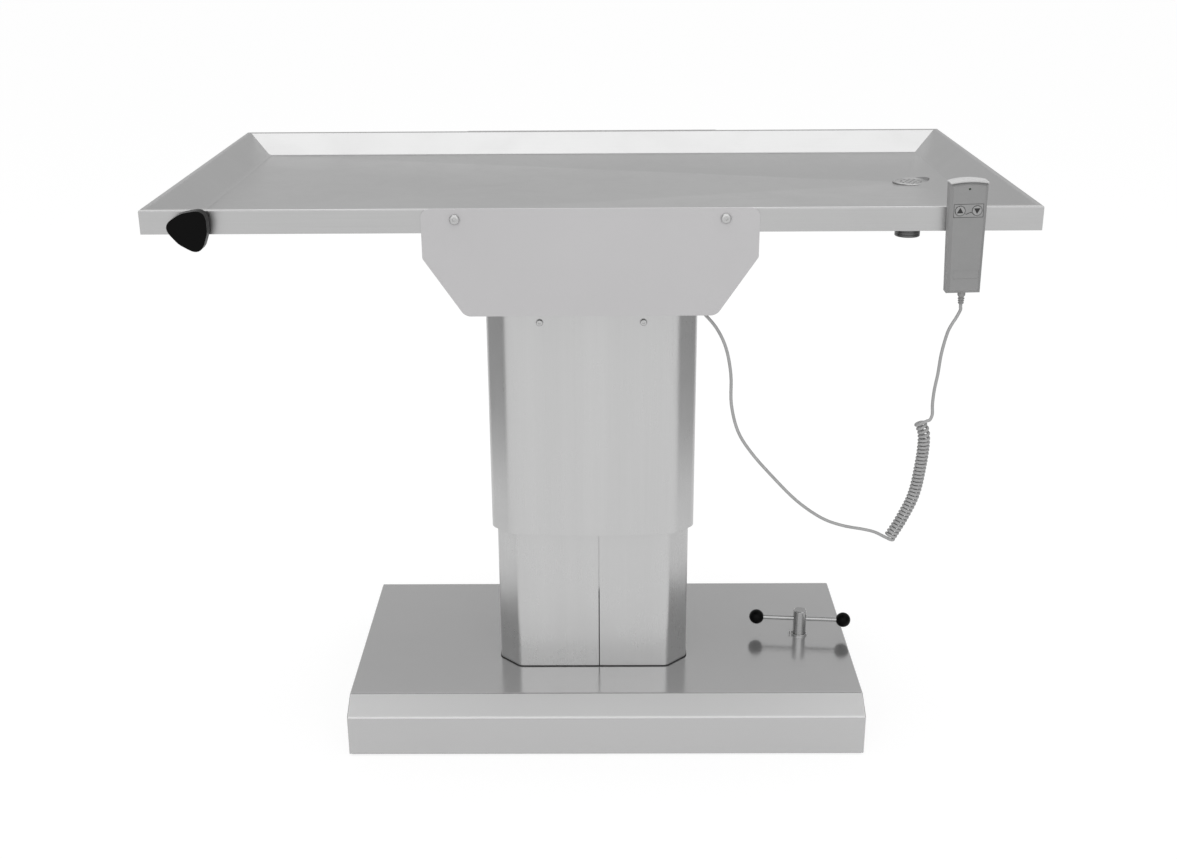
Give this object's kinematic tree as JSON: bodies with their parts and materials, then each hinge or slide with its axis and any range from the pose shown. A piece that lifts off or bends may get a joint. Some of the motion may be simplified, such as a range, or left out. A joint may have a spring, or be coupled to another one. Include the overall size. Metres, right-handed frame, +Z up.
{
  "type": "animal operating table",
  "caption": "Height-adjustable animal operating table: drained stainless tray on a tilting frame, telescopic column, wide base with a wheel jack, and a corded handset.",
  "frame": {"origin": "on the floor under the centre of the column, which is also the middle of the tray", "axes": "+X along the tray towards the drain and the handset, -Y towards the front with the handset and the knob, +Z up"},
  "size_m": [1.2, 0.6812, 0.939],
  "materials": {
    "tray_steel": "fine brushed stainless sheet",
    "plate_paint": "smooth satin powder coat",
    "bolt_steel": "turned stainless",
    "frame_steel": "mill-finished folded stainless",
    "bronze": "turned bronze",
    "shaft_steel": "ground bright steel",
    "drain_metal": "dull turned steel",
    "strainer_steel": "polished pressed stainless",
    "black_rubber": "matt",
    "box_plastic": "fine texture",
    "gland_plastic": "matt nylon",
    "cord_skin": "soft matt",
    "handset_grey": "fine texture",
    "cap_grey": "satin",
    "panel_grey": "satin film",
    "light_lens": "clear tinted",
    "knob_black": "moulded",
    "sleeve_steel": "vertically brushed stainless",
    "shell_steel": "vertically brushed stainless",
    "mast_steel": "drawn steel",
    "glide_plastic": "waxy",
    "actuator_paint": "satin",
    "base_steel": "satin brushed stainless",
    "base_paint": "satin",
    "zinc": "bright zinc",
    "wheel_rubber": "matt"
  },
  "bodies": {
    "base": {"base_frame": "base_paint", "base_cover": "base_steel", "mains_inlet": "gland_plastic", "column_shell_left": "shell_steel", "column_shell_right": "shell_steel", "column_seal": "black_rubber", "lower_mast": "mast_steel", "glide_pads": "glide_plastic", "actuator_body": "actuator_paint", "actuator_motor": "actuator_paint", "jack_bridge": "base_paint", "handle_collar": "shaft_steel", "roller_brackets": "zinc"},
    "lift": {"upper_mast": "mast_steel", "actuator_rod": "shaft_steel", "head_frame": "frame_steel", "sleeve": "sleeve_steel", "sleeve_screws": "bolt_steel", "tilt_shaft": "shaft_steel"},
    "top": {"tray": "tray_steel", "side_plate_front": "plate_paint", "side_plate_rear": "plate_paint", "side_plate_bolts": "bolt_steel", "cross_channels": "frame_steel", "saddle_plates": "frame_steel", "tilt_bushes": "bronze", "tilt_quadrant": "frame_steel", "drain_body": "drain_metal", "drain_gasket": "black_rubber", "drain_locknut": "drain_metal", "control_box": "box_plastic", "cable_gland": "gland_plastic", "cord_lower": "cord_skin", "curly_cord": "cord_skin", "stud_bush": "bronze"},
    "lever": {"clamp_lever": "knob_black"},
    "strainer": {"drain_strainer": "strainer_steel"},
    "disc": {"clamp_disc": "shaft_steel"},
    "knob": {"tie_knob": "knob_black", "knob_stud": "shaft_steel"},
    "handset": {"handset_front": "handset_grey", "handset_back": "handset_grey", "handset_cap": "cap_grey", "handset_hook": "shaft_steel", "button_panel": "panel_grey", "status_light": "light_lens", "strain_relief": "handset_grey", "cord_upper": "cord_skin"},
    "button_up": {"up_button": "panel_grey"},
    "button_down": {"down_button": "panel_grey"},
    "jack": {"jack_screw": "shaft_steel", "handle_bar": "shaft_steel", "handle_balls": "knob_black"},
    "carrier": {"castor_carrier": "base_paint"},
    "castor_front": {"castor_fork_front": "zinc"},
    "castor_rear": {"castor_fork_rear": "zinc"},
    "wheel_front": {"castor_wheel_front": "wheel_rubber"},
    "wheel_rear": {"castor_wheel_rear": "wheel_rubber"},
    "roller_front": {"roller_wheel_front": "wheel_rubber"},
    "roller_rear": {"roller_wheel_rear": "wheel_rubber"}
  },
  "joints": [
    {"name": "column_lift", "type": "slide", "parent": "base", "child": "lift", "axis": [0, 0, 1], "range_m": [-0.22, 0.08]},
    {"name": "top_tilt", "type": "hinge", "parent": "lift", "child": "top", "pos_m": [0, 0, 0.8], "axis": [0, 1, 0], "range_deg": [-15, 15]},
    {"name": "clamp_turn", "type": "hinge", "parent": "lift", "child": "lever", "pos_m": [0, 0.128, 0.74], "axis": [0, -1, 0], "range_deg": [0, 60]},
    {"name": "strainer_lift", "type": "slide", "parent": "top", "child": "strainer", "axis": [0, 0, 1], "range_m": [0, 0.04]},
    {"name": "knob_feed", "type": "slide", "parent": "top", "child": "disc", "axis": [0, -1, 0], "range_m": [-0.00125, 0.00375]},
    {"name": "knob_turn", "type": "hinge", "parent": "disc", "child": "knob", "pos_m": [-0.5285, -0.335, 0.877], "axis": [0, -1, 0], "range_deg": [-360.01, 1080.01]},
    {"name": "handset_lift", "type": "slide", "parent": "top", "child": "handset", "axis": [0, 0, 1], "range_m": [0, 0.05], "deforming": ["curly_cord"]},
    {"name": "up_press", "type": "slide", "parent": "handset", "child": "button_up", "axis": [0, 1, 0], "range_m": [0, 0.001], "stiffness_N_per_m": 800, "springref_m": -0.0008},
    {"name": "down_press", "type": "slide", "parent": "handset", "child": "button_down", "axis": [0, 1, 0], "range_m": [0, 0.001], "stiffness_N_per_m": 800, "springref_m": -0.0008},
    {"name": "jack_turn", "type": "hinge", "parent": "base", "child": "jack", "pos_m": [0.353, 0, 0.1], "axis": [0, 0, 1], "range_deg": [0, 1620.01]},
    {"name": "castor_drop", "type": "slide", "parent": "base", "child": "carrier", "axis": [0, 0, -1], "range_m": [0, 0.018]},
    {"name": "swivel_front", "type": "hinge", "parent": "carrier", "child": "castor_front", "pos_m": [0.353, -0.15, 0.06], "axis": [0, 0, 1], "continuous": true},
    {"name": "swivel_rear", "type": "hinge", "parent": "carrier", "child": "castor_rear", "pos_m": [0.353, 0.15, 0.06], "axis": [0, 0, 1], "continuous": true},
    {"name": "wheel_spin_front", "type": "hinge", "parent": "castor_front", "child": "wheel_front", "pos_m": [0.333, -0.15, 0.033], "axis": [0, 1, 0], "continuous": true},
    {"name": "wheel_spin_rear", "type": "hinge", "parent": "castor_rear", "child": "wheel_rear", "pos_m": [0.333, 0.15, 0.033], "axis": [0, 1, 0], "continuous": true},
    {"name": "roller_spin_front", "type": "hinge", "parent": "base", "child": "roller_front", "pos_m": [-0.34, -0.15, 0.028], "axis": [0, 1, 0], "continuous": true},
    {"name": "roller_spin_rear", "type": "hinge", "parent": "base", "child": "roller_rear", "pos_m": [-0.34, 0.15, 0.028], "axis": [0, 1, 0], "continuous": true}
  ],
  "couplings": [
    {"joint": "knob_turn", "follows": "knob_feed", "rad_per_m": 5026.5},
    {"joint": "jack_turn", "follows": "castor_drop", "rad_per_m": 1570.8}
  ]
}
